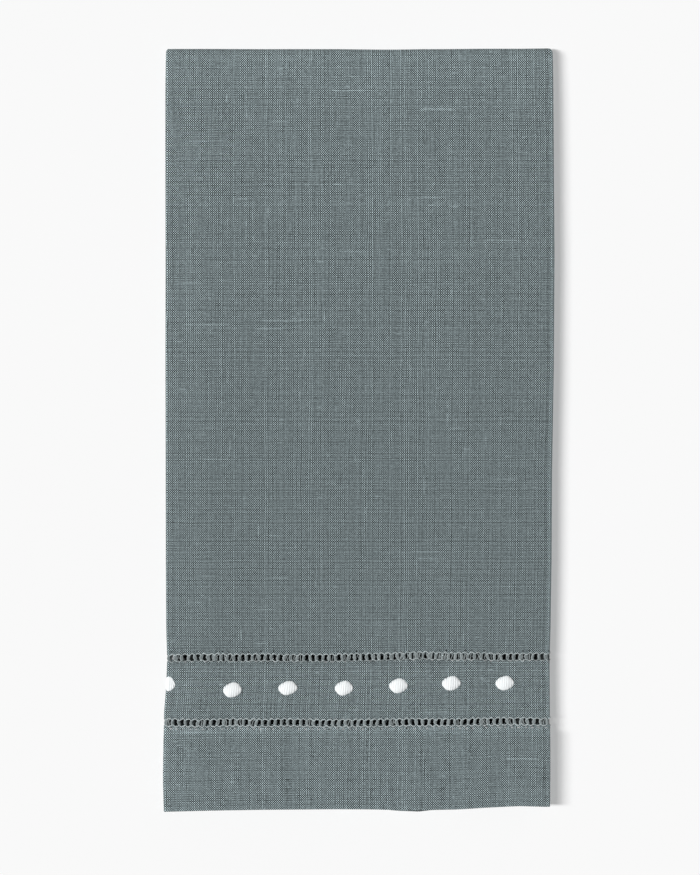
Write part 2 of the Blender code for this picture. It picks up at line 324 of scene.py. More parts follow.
# The ways of a thread: a seed, how fast they change along it, and the contrast between neighbours. Then how
# much paler the slubs are, and how far one crossing's tone may be off
WARP_WAYS = (1.5, 60.0, 0.40)
WEFT_WAYS = (7.5, 110.0, 0.33)
SLUB_TONE = 0.70
LONG_SLUB_TONE = 0.58
CELL_CONTRAST = 0.25

# How strongly the crossings show, by each set of threads, how round the threads' backs look there, and the
# factor that makes the backs' mean 1. The round backs give the paler crossings painted highlights in their
# middles
WARP_SHARE = 0.53
WEFT_SHARE = 0.28
WARP_ROUND = 1.2
WEFT_ROUND = 0.5
BACKS_TO_ONE = 2.18

# How strongly the soft lines along the threads show, for the warp at least and at most
WARP_LINES = (0.14, 0.43)
WEFT_LINES = 0.12

# Patches where the weave shows less: their noise's scale and range, how clearly it shows there and elsewhere
PATCH_SCALE = 230.0
PATCHES = (0.34, 0.45, 0.50, 1.0)

# Limits of the weave's shade. What is cut off at the dark one makes the clearest weave paler, so CLEAR_TONE
# darkens it: from and to which clearness, and the tone at each
DARKEST_SHADE = 0.03
PALEST_SHADE = 5.0
CLEAR_TONE = (0.9, 1.7, 1.0, 0.845)
BUMP_DEPTH = 0.00008

# The stripe of painted light on the right fold, which turns away from the lamp: its middle, its half widths
# where it is strongest and where it ends, and how clearly the weave shows in it
RIGHT_FOLD_PAINTED_LIGHT = FRONT_RUN + 0.0024
RIGHT_FOLD_PAINTED_LIGHT_HALF = (0.0012, 0.0026)
RIGHT_FOLD_PAINTED_LIGHT_CLEAR = 0.35

# How much paler or darker the cloth is painted by its distance from the nearer end: start, end, share. In
# turn:
# towards the crest, at the crest, at the upper row, from the body to the hem, in the hem, where it is
# darker, and towards the hem's edge. The paleness towards and at the crest is painted light
LIGHT_AND_TONE_STRETCHES = (
    (0.160, 0.340, 0.090),
    (0.325, 0.350, 0.110),
    (0.080, 0.070, 0.035),
    (0.100, 0.030, 0.030),
    (0.038, 0.034, -0.075),
    (0.025, 0.005, 0.040),
)

# Lines of painted light along and across the cloth: along, a painted highlight on the hem's raised edge and
# paleness beside the drawn rows that lifts the shade of their arches; across, a painted highlight on the
# left fold and the right fold's stripe. Each: middle, half width at full strength, half width where it ends,
# share
PAINTED_LIGHT_LINES_ALONG = (
    (0.0355, 0.0014, 0.0032, 0.32),
    (UPPER_ROW, 0.0022, 0.0032, 0.12),
    (LOWER_ROW, 0.0022, 0.0032, 0.12),
)
PAINTED_LIGHT_LINES_ACROSS = (
    (0.0, 0.0003, 0.0030, 0.08),
    (RIGHT_FOLD_PAINTED_LIGHT, *RIGHT_FOLD_PAINTED_LIGHT_HALF, 1.45),
)

# How much more clearly than CLEAR_BODY the weave shows: start, end, more at the start, more at the end. In
# turn: in the hem, from the upper row to the hem's edge, and towards the crest
CLEAR_BODY = 0.91
CLEAR_STRETCHES = (
    (0.032, 0.034, 0.76, 0.0),
    (0.070, 0.080, 0.38, 0.0),
    (0.160, 0.340, 0.0, 0.62),
)


def read_table(table, key, column):
    """Value of a column at key, on straight lines between the table's rows."""
    if key <= table[0][0]:
        return table[0][column]
    for low, high in zip(table, table[1:]):
        if key <= high[0]:
            share = (key - low[0]) / (high[0] - low[0])
            return low[column] + share * (high[column] - low[column])
    return table[-1][column]


def smooth_step(value, start, end):
    """0 before the start, 1 after the end, and a soft rise between them."""
    share = min(max((value - start) / (end - start), 0.0), 1.0)
    return share * share * (3 - 2 * share)


def round_fold(fold_x, radius, past):
    """A place past the front's edge, round a side fold, and the outward normal there."""
    angle = math.pi / 2 - past / radius
    out, up = math.cos(angle), math.sin(angle)
    return fold_x + radius * out, FRONT_LEVEL - radius + radius * up, out, up


def section_at(across):
    """Cross-section of the upper half: x, height above the middle, and the cloth's outward normal."""
    if across < -LEFT_TURN:
        return LEFT_FOLD_X - LEFT_TURN - across, LEFT_FLAP_LEVEL, 0.0, -1.0
    if across < 0:
        return round_fold(LEFT_FOLD_X, LEFT_RADIUS, across)
    if across <= FRONT_RUN:
        return LEFT_FOLD_X + across, FRONT_LEVEL, 0.0, 1.0
    past = across - FRONT_RUN
    if past < RIGHT_TURN:
        return round_fold(RIGHT_FOLD_X, RIGHT_RADIUS, past)
    return RIGHT_FOLD_X + RIGHT_TURN - past, RIGHT_FLAP_LEVEL, 0.0, -1.0


def thickening(x, y):
    """How much thicker than HEIGHT the bundle is at a place, as a factor."""
    hem = smooth_step(HEM_Y + HEM_DEPTH - y, 0.0, HEM_STEP)
    middle = 1 - smooth_step(abs(x), 0.0, MIDDLE_REACH)
    crest = smooth_step(y, CREST_Y - CREST_DROP_REACH, CREST_Y)
    factor = 1 + HEM_LIFT * hem + MIDDLE_LIFT * middle - CREST_DROP * crest
    for swell_x, swell_y, half_width, half_length, share in SWELLS:
        away = ((x - swell_x) / half_width) ** 2 + ((y - swell_y) / half_length) ** 2
        factor += share * math.exp(-away)
    ripple = noise.noise(Vector((x * RIPPLES_ACROSS, y * RIPPLES_ALONG, RIPPLE_LAYER)))
    return factor + RIPPLE * ripple


def sinking(x, y, z):
    """How far a point sinks where the right flap is missing between the two halves."""
    before_crest = 1 - smooth_step(y, SINK_FADE_Y, CREST_AXIS_Y)
    above_slot = smooth_step(z, HALF_HEIGHT - RIGHT_FLAP_LEVEL, HALF_HEIGHT + RIGHT_FLAP_LEVEL)
    return read_table(SINKING, x, 1) * before_crest * above_slot


def settle(x, y, z):
    """Moves a point of the even bundle to where the real one lies. The underside stays flat."""
    under = 1 - z / HEIGHT
    left = read_table(SIDES, y, 1) * (1 - under) + read_table(SIDES, y, 3) * under
    right = read_table(SIDES, y, 2) * (1 - under) + read_table(SIDES, y, 4) * under
    placed_x = left + (right - left) * (x / WIDTH + 0.5) + TO_MIDDLE_X
    hem = read_table(ENDS, x, 1) * (1 - under) + read_table(ENDS, x, 2) * under
    crest = read_table(ENDS, x, 3)
    hem_share = min(max(1 - (y - HEM_Y) / HEM_REACH, 0.0), 1.0)
    crest_share = min(max(1 - (CREST_Y - y) / CREST_REACH, 0.0), 1.0)
    placed_y = y + (hem - HEM_Y) * hem_share + (crest - CREST_Y) * crest_share + TO_MIDDLE_Y
    return Vector((placed_x, placed_y, (z - sinking(x, y, z)) * thickening(x, y)))


def fold(across, along, off):
    """Place in the bundle of a point that lies off the middle of the flat cloth, on its right side."""
    y, turn = HEM_Y + along, 0.0
    if along > STRAIGHT_RUN:
        y = CREST_AXIS_Y
        turn = (along - STRAIGHT_RUN) / FRONT_LEVEL
    if turn > math.pi:
        y = HEM_Y + FLAT_LENGTH - along
        turn = math.pi
    for column, row_along in enumerate(ROW_ALONG, start=1):
        near = 1 - smooth_step(abs(along - row_along), 0.0, WANDER_REACH)
        if near:
            y += near * read_table(WANDER, across, column)
    x, level, out, up = section_at(across)
    x += out * off
    level += up * off
    return settle(x, y + level * math.sin(turn), HALF_HEIGHT + level * math.cos(turn))


def spread(start, end, cells):
    """Places from start to end, both among them."""
    return [start + (end - start) * cell / cells for cell in range(cells + 1)]


def joined(*runs):
    """One run of places out of several that share their ends."""
    places = list(runs[0])
    for run in runs[1:]:
        places += run[1:]
    return places


# Cloth


def cloth_columns():
    """Places across the flat cloth, close together in the two folds."""
    flap_cells = round(FLAP_RUN / CELL)
    return joined(
        spread(-LEFT_TURN - FLAP_RUN, -LEFT_TURN, flap_cells),
        spread(-LEFT_TURN, 0.0, TURN_CELLS),
        spread(0.0, FRONT_RUN, round(FRONT_RUN / CELL)),
        spread(FRONT_RUN, FRONT_RUN + RIGHT_TURN, TURN_CELLS),
        spread(FRONT_RUN + RIGHT_TURN, FRONT_RUN + RIGHT_TURN + FLAP_RUN, flap_cells),
    )


def cloth_strips():
    """Places along the cloth of each woven strip: hem, band, body, band and hem."""
    upper, lower = ROW_ALONG
    hem_end = lower - ROW_HALF
    hem = joined(
        HEM_EDGE,
        spread(HEM_EDGE[-1], HEM_DEPTH - HEM_STEP, HEM_CELLS),
        spread(HEM_DEPTH - HEM_STEP, HEM_DEPTH, HEM_STEP_CELLS),
        spread(HEM_DEPTH, hem_end, UNDER_ROW_CELLS),
    )
    band = spread(lower + ROW_HALF, upper - ROW_HALF, BAND_CELLS)
    half_cells = round((STRAIGHT_RUN - upper) / CELL)
    body_start = upper + ROW_HALF
    body = joined(
        spread(body_start, STRAIGHT_RUN, half_cells),
        spread(STRAIGHT_RUN, STRAIGHT_RUN + CREST_TURN, CREST_CELLS),
        spread(STRAIGHT_RUN + CREST_TURN, FLAT_LENGTH - body_start, half_cells),
    )
    turned = [[FLAT_LENGTH - place for place in reversed(strip)] for strip in (hem, band)]
    return [hem, band, body, turned[1], turned[0]]


def flat_strip(mesh, columns, rows):
    """Adds a closed slab to the mesh with a point on each side for each column and row."""
    made = bmesh.ops.create_grid(
        mesh, x_segments=len(columns) - 1, y_segments=len(rows) - 1, size=0.5
    )
    for vertex in made["verts"]:
        column = round((vertex.co.x + 0.5) * (len(columns) - 1))
        row = round((vertex.co.y + 0.5) * (len(rows) - 1))
        vertex.co = (columns[column], rows[row], -LINEN_THICKNESS / 2)
    faces = list(dict.fromkeys(face for vertex in made["verts"] for face in vertex.link_faces))
    grown = bmesh.ops.extrude_face_region(mesh, geom=faces)
    upper = [item for item in grown["geom"] if isinstance(item, bmesh.types.BMVert)]
    bmesh.ops.translate(mesh, verts=upper, vec=(0.0, 0.0, LINEN_THICKNESS))


def keep_flat_places(mesh):
    """Stores each corner's place on the flat cloth as its UV, in metres."""
    layer = mesh.loops.layers.uv.new("flat")
    for face in mesh.faces:
        for loop in face.loops:
            loop[layer].uv = loop.vert.co.xy


def finish_piece(mesh, name, material):
    """Makes the object of a mesh that lies in its place, and lets it ride on the towel's one body."""
    bmesh.ops.recalc_face_normals(mesh, faces=mesh.faces[:])
    data = bpy.data.meshes.new(name)
    mesh.to_mesh(data)
    mesh.free()
    for polygon in data.polygons:
        polygon.use_smooth = True
    data.materials.append(material)
    piece = bpy.data.objects.new(name, data)
    bpy.context.scene.collection.objects.link(piece)
    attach(piece, "root")
    return piece


def sort_faces(mesh):
    """Puts the faces in the order of their corners, the same in each run. Extruding leaves it to chance."""
    mesh.verts.index_update()
    count = len(mesh.verts)

    def by_corners(face):
        corners = [corner.index for corner in face.verts]
        return min(corners) * count + max(corners)

    mesh.faces.sort(key=by_corners)


def make_cloth(material):
    """The whole cloth, strip by strip, made flat and then folded."""
    mesh = bmesh.new()
    columns = cloth_columns()
    for rows in cloth_strips():
        flat_strip(mesh, columns, rows)
    keep_flat_places(mesh)
    bmesh.ops.recalc_face_normals(mesh, faces=mesh.faces[:])
    sort_faces(mesh)
    for vertex in mesh.verts:
        vertex.co = fold(*vertex.co)
    return finish_piece(mesh, "towel_cloth", material)


# Threads


def thread_stock(rings, sides):
    """Straight closed thread of radius 1 from height 0 to 1, to be laid again and again."""
    mesh = bmesh.new()
    bmesh.ops.create_cone(
        mesh, cap_ends=True, cap_tris=False, segments=sides, radius1=1, radius2=1, depth=1
    )
    bmesh.ops.translate(mesh, verts=mesh.verts[:], vec=(0.0, 0.0, 0.5))
    upright = [edge for edge in mesh.edges if abs(edge.verts[0].co.z - edge.verts[1].co.z) > 0.5]
    bmesh.ops.subdivide_edges(mesh, edges=upright, cuts=rings - 2)
    data = bpy.data.meshes.new("thread_stock")
    mesh.to_mesh(data)
    mesh.free()
    return data


def curve_point(points, share):
    """Point at a share of the way along a smooth curve through the points, and its direction."""
    spans = len(points) - 1
    span = min(int(share * spans), spans - 1)
    t = share * spans - span
    b, c = points[span], points[span + 1]
    a = points[span - 1] if span else b * 2 - c
    d = points[span + 2] if span + 2 < len(points) else c * 2 - b
    slope_b, slope_c = (c - a) / 2, (d - b) / 2
    place = (
        b * (2 * t ** 3 - 3 * t ** 2 + 1)
        + slope_b * (t ** 3 - 2 * t ** 2 + t)
        + c * (3 * t ** 2 - 2 * t ** 3)
        + slope_c * (t ** 3 - t ** 2)
    )
    direction = (
        b * (6 * t ** 2 - 6 * t)
        + slope_b * (3 * t ** 2 - 4 * t + 1)
        + c * (6 * t - 6 * t ** 2)
        + slope_c * (3 * t ** 2 - 2 * t)
    )
    return place, direction.normalized()


def new_threads():
    """Empty mesh for threads, each with its own tone from 0, dark, to 1, pale."""
    mesh = bmesh.new()
    mesh.verts.layers.float.new("tone")
    return mesh


def lay_thread(mesh, stock, points, radius, tone=0.5, taper=0.6, flatness=1.0):
    """Lays one thread along points of the flat cloth and folds it with the cloth."""
    first = len(mesh.verts)
    mesh.from_mesh(stock)
    mesh.verts.ensure_lookup_table()
    tones = mesh.verts.layers.float["tone"]
    path = [Vector(point) for point in points]
    for vertex in mesh.verts[first:]:
        vertex[tones] = tone
        share = vertex.co.z
        place, direction = curve_point(path, share)
        side = direction.cross(Vector((0.0, 0.0, 1.0)))
        side = side.normalized() if side.length > 1e-6 else Vector((1.0, 0.0, 0.0))
        lift = side.cross(direction)
        girth = radius * (1 - (1 - taper) * abs(2 * share - 1) ** 4)
        place += side * (vertex.co.x * girth) + lift * (vertex.co.y * girth * flatness)
        vertex.co = fold(*place)


def either_way(chance, reach):
    """A random length within reach, to one side or the other."""
    return chance.uniform(-reach, reach)


def drawn_places(column, first, last):
    """Where the bundles, odd, and the holes, even, of a row lie across the cloth, half a step apart."""
    places = []
    for half_step in range(first, last + 1):
        even = FIRST_HOLE + HOLE_STEP * half_step / 2
        places.append(even + read_table(DRIFT, even, column) + BOW_BACK)
    return places


def front_bundles(column):
    """The bundles of a near row on the front, its left edge and the top of its right fold."""
    return drawn_places(column, -1, LAST_BUNDLE)[::2]


def front_holes(column):
    """The holes of a row on the front, each between two bundles."""
    return drawn_places(column, 0, LAST_BUNDLE - 1)[::2]


def flaps_under(place, slip=0.0):
    """Places on the two flaps that lie under a place of the front, each slipped its own way."""
    flaps = []
    if 0 < place < FLAP_RUN:
        flaps.append(-LEFT_TURN - place - slip)
    if FRONT_RUN - FLAP_RUN < place < FRONT_RUN:
        flaps.append(FRONT_RUN + RIGHT_TURN + FRONT_RUN - place + slip)
    return flaps


def straight_under(place, row_along, flap, along):
    """Moves a place on a flap by what the settled bundle lies off, so that it is right under the front's."""
    return flap + fold(flap, along, 0.0).x - fold(place, row_along, 0.0).x


def lay_bundle(
    mesh, stock, chance, centre, row_along, strands, radius, height, girth=1.0, lift=0.0, shade=0.0
):
    """One bundle of drawn threads: gathered at both ends and spread in the middle."""
    lean = either_way(chance, LEAN)
    swell = chance.uniform(0.75, 1.20) * girth
    bend = either_way(chance, BEND) - BOW
    reach = ROW_HALF + END_UNDER
    # The shade darkens the bundles inside the folds: painted shade
    pale = chance.uniform(-0.08, 0.12) - shade
    for strand in range(strands):
        place = strand / (strands - 1) * 2 - 1
        stray = either_way(chance, STRAY) if chance.random() < STRAYING else 0.0
        gathered = place * GATHERED_HALF * girth
        spread_out = place * SPREAD_HALF * swell + bend + either_way(chance, 0.00006) + stray
        domed = 1 - place * place
        low = lift - 0.00010 + 0.00012 * domed
        high = lift + height * (0.8 + domed) + either_way(chance, 0.00004)
        # The outer strands are paler: painted highlights along the bundle's edges
        tone = 0.24 + 0.55 * abs(place) ** 3 + pale + either_way(chance, 0.14)
        points = [
            (centre + gathered - lean, row_along - reach, low),
            (centre + gathered * 1.10 - lean * 0.8, row_along - reach * 0.62, high * 0.7),
            (centre + spread_out, row_along + either_way(chance, 0.0002), high),
            (centre + gathered * 1.10 + lean * 0.8, row_along + reach * 0.62, high * 0.7),
            (centre + gathered + lean, row_along + reach, low),
        ]
        lay_thread(mesh, stock, points, radius * chance.uniform(0.88, 1.1), tone)


def lay_loose_strand(mesh, stock, hole, row_along, chance):
    """A strand that has slipped off its bundle and hangs across a hole."""
    reach = ROW_HALF + 0.0003
    middle = chance.uniform(-0.00055, 0.00035)
    points = [
        (hole + chance.uniform(-0.0009, 0.0012), row_along - reach, 0.0),
        (hole + middle + either_way(chance, 0.0004), row_along - reach * 0.5, 0.00018),
        (hole + middle, row_along, 0.00025),
        (hole + middle + either_way(chance, 0.0004), row_along + reach * 0.5, 0.00018),
        (hole + chance.uniform(-0.0009, 0.0012), row_along + reach, 0.0),
    ]
    lay_thread(mesh, stock, points, chance.uniform(0.00014, 0.00020), chance.uniform(0.4, 1.0))


def press_threads(mesh, stock, start, end, row_along, chance):
    """Threads side by side round a fold, where a drawn row's bundles are pressed together."""
    reach = ROW_HALF + END_UNDER
    for place in spread(start, end, round((end - start) / PRESSED_STEP)):
        middle = place + either_way(chance, PRESSED_WANDER)
        points = [(place, row_along - reach, 0.0), (middle, row_along, 0.0), (place, row_along + reach, 0.0)]
        lay_thread(mesh, stock, points, PRESSED_RADIUS, chance.uniform(0.0, 0.5), taper=0.9)


def lay_front_bundles(front, inside, fine, simple, column, chance):
    """A row's bundles on the front, and those of the flaps right behind them."""
    row_along = ROW_ALONG[column - 1]
    first_hole = front_holes(column)[0]
    for centre in front_bundles(column):
        by_open = row_along == UPPER_ROW and abs(centre - first_hole) < HOLE_STEP * 0.6
        girth = OPEN_GIRTH if by_open else 1.0
        lay_bundle(front, fine, chance, centre, row_along, girth=girth, **FRONT_BUNDLE)
        for flap in flaps_under(centre, read_table(SLIPS, LEFT_FOLD_X + centre, column)):
            where = straight_under(centre, row_along, flap, row_along)
            lay_bundle(inside, simple, chance, where, row_along, **FLAP_BUNDLE)


def fill_holes(front, inside, fine, simple, column, chance):
    """What shows in a row's holes: loose strands, and the bundles of the far half and its flaps."""
    row_along = ROW_ALONG[column - 1]
    far = FLAT_LENGTH - row_along
    holes = front_holes(column)
    for hole in holes:
        open_one = row_along == UPPER_ROW and hole == holes[0]
        for likely in read_table(LOOSE, hole, column), read_table(LOOSE, hole, column + 2):
            if chance.random() < likely and not open_one:
                lay_loose_strand(front, fine, hole, row_along, chance)
        if not open_one:
            lay_bundle(inside, simple, chance, hole, far, **FAR_BUNDLE)
        for flap in flaps_under(hole):
            aside, girth = (OPEN_ASIDE, 1.0) if open_one else (0.0, FAR_FLAP_GIRTH)
            where = straight_under(hole, row_along, flap, far) + aside
            lay_bundle(inside, simple, chance, where, far, girth=girth, **FAR_FLAP_BUNDLE)


def make_bundles(material):
    """The thread bundles of the drawn rows: the front's finely, those inside the folds simply."""
    chance = random.Random(7)
    fine, simple = thread_stock(9, 5), thread_stock(5, 4)
    front, inside = new_threads(), new_threads()
    for column, row_along in enumerate(ROW_ALONG, start=1):
        lay_front_bundles(front, inside, fine, simple, column, chance)
        fill_holes(front, inside, fine, simple, column, chance)
        far = FLAT_LENGTH - row_along
        for start, end, along in (
            (-LEFT_TURN, -LEFT_TURN * 0.45, row_along),
            (FRONT_RUN + RIGHT_TURN * 0.5, FRONT_RUN + RIGHT_TURN, row_along),
            (-LEFT_TURN, -LEFT_TURN * 0.10, far),
            (FRONT_RUN, FRONT_RUN + RIGHT_TURN, far),
        ):
            press_threads(inside, simple, start, end, along, chance)
    return [
        finish_piece(front, "drawn_bundles_front", material),
        finish_piece(inside, "drawn_bundles_inside", material),
    ]


def lay_edge_stitch(mesh, stock, hole, row_along, edge, chance):
    """Hemstitch over one hole's end: an arch, a turn round the next bundle, a thread to the needle hole."""
    top = CLOTH_TOP
    foot = row_along + edge * (ROW_HALF - 0.0001)
    bright, farther = ARCHES[row_along, edge]
    crown = row_along + edge * (ARCH_REACH + farther + chance.uniform(-0.00018, 0.00012))
    slant = either_way(chance, 0.00028)
    side = either_way(chance, 0.00040)
    arch = [
        (hole - ARCH_FOOT, foot - edge * 0.0002 - slant, top + 0.00004),
        (hole - ARCH_SHOULDER, foot + edge * 0.0001 - slant, top + 0.00016),
        (hole + side - BOW_BACK, crown, top + 0.00020),
        (hole + ARCH_SHOULDER, foot + edge * 0.0001 + slant, top + 0.00016),
        (hole + ARCH_FOOT, foot - edge * 0.0002 + slant, top + 0.00004),
    ]
    lay_thread(mesh, stock, arch, chance.uniform(0.00015, 0.00021), bright + chance.uniform(0.15, 0.85))
    bundle = hole + HOLE_STEP / 2 + either_way(chance, 0.0001)
    tied = row_along + edge * (ROW_HALF - chance.uniform(0.0000, 0.0003))
    half = chance.uniform(0.00045, 0.00065)
    turn = [
        (bundle - half, tied + slant * 0.5, top * 0.7),
        (bundle, tied, top + 0.00030),
        (bundle + half, tied - slant * 0.5, top * 0.7),
    ]
    lay_thread(mesh, stock, turn, chance.uniform(0.00018, 0.00026), chance.uniform(0.3, 0.8))
    pulled = chance.choice((-1, 1))
    point = row_along + edge * (NEEDLE_REACH + chance.uniform(-0.00020, 0.00015))
    thread = [
        (hole + pulled * 0.00120, foot, top * 0.7),
        (hole + pulled * 0.00080, (foot + point) / 2, top + 0.00014),
        (hole + pulled * 0.00020, point, top - 0.00012),
    ]
    lay_thread(mesh, stock, thread, NEEDLE_THREAD_RADIUS, chance.uniform(0.0, 0.5))


def lay_under_stitch(mesh, stock, hole, row_along, chance):
    """Short bright stitch under a hole. The lower row has one under every hole, the upper under some."""
    if row_along == UPPER_ROW and chance.random() < UPPER_ROW_BARE:
        return
    top = CLOTH_TOP
    edge = row_along - ARCH_REACH - either_way(chance, 0.0001)
    half = chance.uniform(0.00040, 0.00070)
    rise = chance.uniform(-0.0002, 0.0004)
    points = [
        (hole - half, edge + rise, top * 0.4),
        (hole, edge, top + 0.00024),
        (hole + half, edge - rise * 0.3, top * 0.4),
    ]
    lay_thread(mesh, stock, points, UNDER_STITCH_RADIUS, chance.uniform(0.5, 1.0))


def lay_hem_stitch(mesh, stock, hole, chance):
    """One stitch of the hem's line."""
    top = CLOTH_TOP
    half = chance.uniform(0.00040, 0.00085)
    place = HEM_STITCH_ALONG + either_way(chance, 0.00015)
    middle = hole + HOLE_STEP * 0.25 + either_way(chance, 0.0003)
    slope = chance.uniform(-0.0001, 0.0002)
    points = [
        (middle - half, place - slope, top - 0.0001),
        (middle, place, top + 0.00016),
        (middle + half, place + slope, top - 0.0001),
    ]
    lay_thread(mesh, stock, points, HEM_STITCH_RADIUS, chance.uniform(0.1, 0.9))


def make_hemstitch(arch_material, stitch_material):
    """The sewing along the drawn rows: arches at the holes, stitches under them, and the hem's line."""
    chance = random.Random(11)
    stock = thread_stock(7, 5)
    arches, stitches = new_threads(), new_threads()
    for column, row_along in enumerate(ROW_ALONG, start=1):
        for hole in front_holes(column):
            lay_edge_stitch(arches, stock, hole, row_along, 1, chance)
            lay_edge_stitch(arches, stock, hole, row_along, -1, chance)
            lay_under_stitch(stitches, stock, hole, row_along, chance)
    for hole in front_holes(2):
        lay_hem_stitch(stitches, stock, hole, chance)
    return [
        finish_piece(arches, "hemstitch_arches", arch_material),
        finish_piece(stitches, "hem_stitches", stitch_material),
    ]


def satin_path(middle_across, middle_along, middle, reach_down, reach_up, fan, high):
    """One ply's way over a dot. What would lie left of the front is drawn in, as it goes round the fold."""
    points = []
    for share in SATIN_SHARES:
        wide_part = share * (reach_up if share > 0 else reach_down)
        long_part = middle - wide_part * fan
        across = middle_across + long_part * math.cos(DOT_TILT) - wide_part * math.sin(DOT_TILT)
        along = middle_along + long_part * math.sin(DOT_TILT) + wide_part * math.cos(DOT_TILT)
        if across < 0:
            across *= ROUND_THE_FOLD
        points.append((across, along, CLOTH_TOP + high * (1 - abs(share) ** 3) - 0.00008))
    return points


def make_dot(number, row, stock, material):
    """One satin-stitched dot: turns of thread side by side over a low crown, fanned at its ends."""
    x, y, length, width, turns, edge_height, rise, taper, lean = row
    chance = random.Random(100 + number)
    mesh = new_threads()
    step = length / turns
    for turn in range(turns):
        place = (turn + 0.5) / turns * 2 - 1
        fan = math.tan(math.radians(lean + DOT_FAN * place * place))
        for ply in (-1, 0, 1):
            middle = place * length / 2 + ply * step * PLY_STEP
            crown = 1 - (2 * middle / length) ** 2
            reach = crown ** taper * width / 2
            high = edge_height + rise * crown + (0.00005 if ply == 0 else 0.0)
            reach_up = reach + either_way(chance, 0.00012)
            reach_down = reach + either_way(chance, 0.00012)
            points = satin_path(x - LEFT_FOLD_X, y - HEM_Y, middle, reach_down, reach_up, fan, high)
            tone = 0.75 + either_way(chance, 0.25) - (0.0 if ply == 0 else 0.1)
            lay_thread(mesh, stock, points, step * PLY_RADIUS, tone, taper=0.75, flatness=0.8)
    piece = finish_piece(mesh, f"satin_dot_{number}", material)
    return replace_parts(piece, f"dot_{number}")


# Finishes


class Finish:
    """A material's nodes, wired up step by step."""

    def __init__(self, name, roughness):
        self.material = bpy.data.materials.new(name)
        self.material.use_nodes = True
        self.nodes = self.material.node_tree.nodes
        self.links = self.material.node_tree.links
        self.shader = self.nodes["Principled BSDF"]
        self.shader.inputs["Roughness"].default_value = roughness
        self.shader.inputs["Specular IOR Level"].default_value = 0.25

    def add(self, kind, outlet=0, settings=None, **inlets):
        """Adds a node, with its inlets by name, and gives one of its outlets."""
        node = self.nodes.new(kind)
        for key, value in (settings or {}).items():
            setattr(node, key, value)
        for key, value in inlets.items():
            self.set(node.inputs[key.replace("_", " ")], value)
        return node.outputs[outlet]

    def set(self, socket, value):
        if isinstance(value, bpy.types.NodeSocket):
            self.links.new(value, socket)
        else:
            socket.default_value = value

    def calc(self, operation, *values):
        node = self.nodes.new("ShaderNodeMath")
        node.operation = operation
        for socket, value in zip(node.inputs, values):
            self.set(socket, value)
        return node.outputs[0]

    def chain(self, operation, values):
        total = values[0]
        for value in values[1:]:
            total = self.calc(operation, total, value)
        return total

    def plus(self, *values):
        return self.chain("ADD", values)

    def minus(self, value, taken):
        return self.calc("SUBTRACT", value, taken)

    def times(self, *values):
        return self.chain("MULTIPLY", values)

    def away(self, value, middle):
        """How far a value is from the middle, on either side."""
        return self.calc("ABSOLUTE", self.minus(value, middle))

    def ramp(self, value, low, high, to_low=0.0, to_high=1.0):
        """Straight from to_low at low to to_high at high, and level outside them."""
        node = self.nodes.new("ShaderNodeMapRange")
        for name, number in (
            ("From Min", low), ("From Max", high), ("To Min", to_low), ("To Max", to_high)
        ):
            node.inputs[name].default_value = number
        self.links.new(value, node.inputs["Value"])
        return node.outputs[0]

    def combine(self, x, y, z=0.0):
        return self.add("ShaderNodeCombineXYZ", X=x, Y=y, Z=z)

    def noise(self, place, scale, detail=2.0, roughness=0.5):
        return self.add(
            "ShaderNodeTexNoise", 0, Vector=place, Scale=scale, Detail=detail, Roughness=roughness
        )

    def chance(self, number, seed):
        """A random number from 0 to 1 for each pair of whole numbers."""
        return self.add(
            "ShaderNodeTexWhiteNoise", 0, {"noise_dimensions": "2D"}, Vector=self.combine(number, seed)
        )

    def blend(self, share, first, second):
        node = self.nodes.new("ShaderNodeMix")
        node.data_type = "RGBA"
        self.set(node.inputs[0], share)
        self.set(node.inputs[6], first)
        self.set(node.inputs[7], second)
        return node.outputs[2]

    def paint(self, colour, shade):
        """Gives the shader its base colour: a colour times a shade."""
        made = self.add("ShaderNodeVectorMath", 0, {"operation": "SCALE"}, Scale=shade)
        self.set(made.node.inputs[0], colour)
        self.set(self.shader.inputs["Base Color"], made)

    def bump(self, height, strength, distance):
        made = self.add("ShaderNodeBump", Strength=strength, Distance=distance, Height=height)
        self.links.new(made, self.shader.inputs["Normal"])


def flat_places(linen):
    """Outlets with a point's place on the flat cloth, across it and along it."""
    flat = linen.add("ShaderNodeUVMap", 0, {"uv_map": "flat"})
    parts = linen.add("ShaderNodeSeparateXYZ", 0, Vector=flat).node
    return parts.outputs[0], parts.outputs[1]


def needle_hole_painted_shade(linen, across, from_end):
    """Painted shade in the needle holes above and below the drawn holes: how near a place is to one, 0 to 1.
    """
    middle = (UPPER_ROW + LOWER_ROW) / 2
    apart = UPPER_ROW - LOWER_ROW
    from_row = linen.minus(linen.away(from_end, middle), apart / 2)
    from_edge = linen.minus(linen.calc("ABSOLUTE", from_row), NEEDLE_REACH + 0.0001)
    step = linen.calc("DIVIDE", linen.minus(across, FIRST_HOLE - HOLE_STEP * 100.5), HOLE_STEP)
    line = linen.calc("FLOOR", linen.calc("DIVIDE", from_end, apart / 10))
    uneven = linen.ramp(linen.chance(linen.calc("FLOOR", step), line), 0.35, 0.95)
    from_hole = linen.times(linen.minus(linen.calc("FRACT", step), 0.5), HOLE_STEP)
    square = linen.plus(linen.times(from_hole, from_hole), linen.times(from_edge, from_edge))
    mark = linen.ramp(linen.calc("SQRT", square), *NEEDLE_HOLE, 1.0, 0.0)
    outer = linen.ramp(from_row, -0.001, 0.001, 0.30, 1.0)
    return linen.times(mark, uneven, outer)


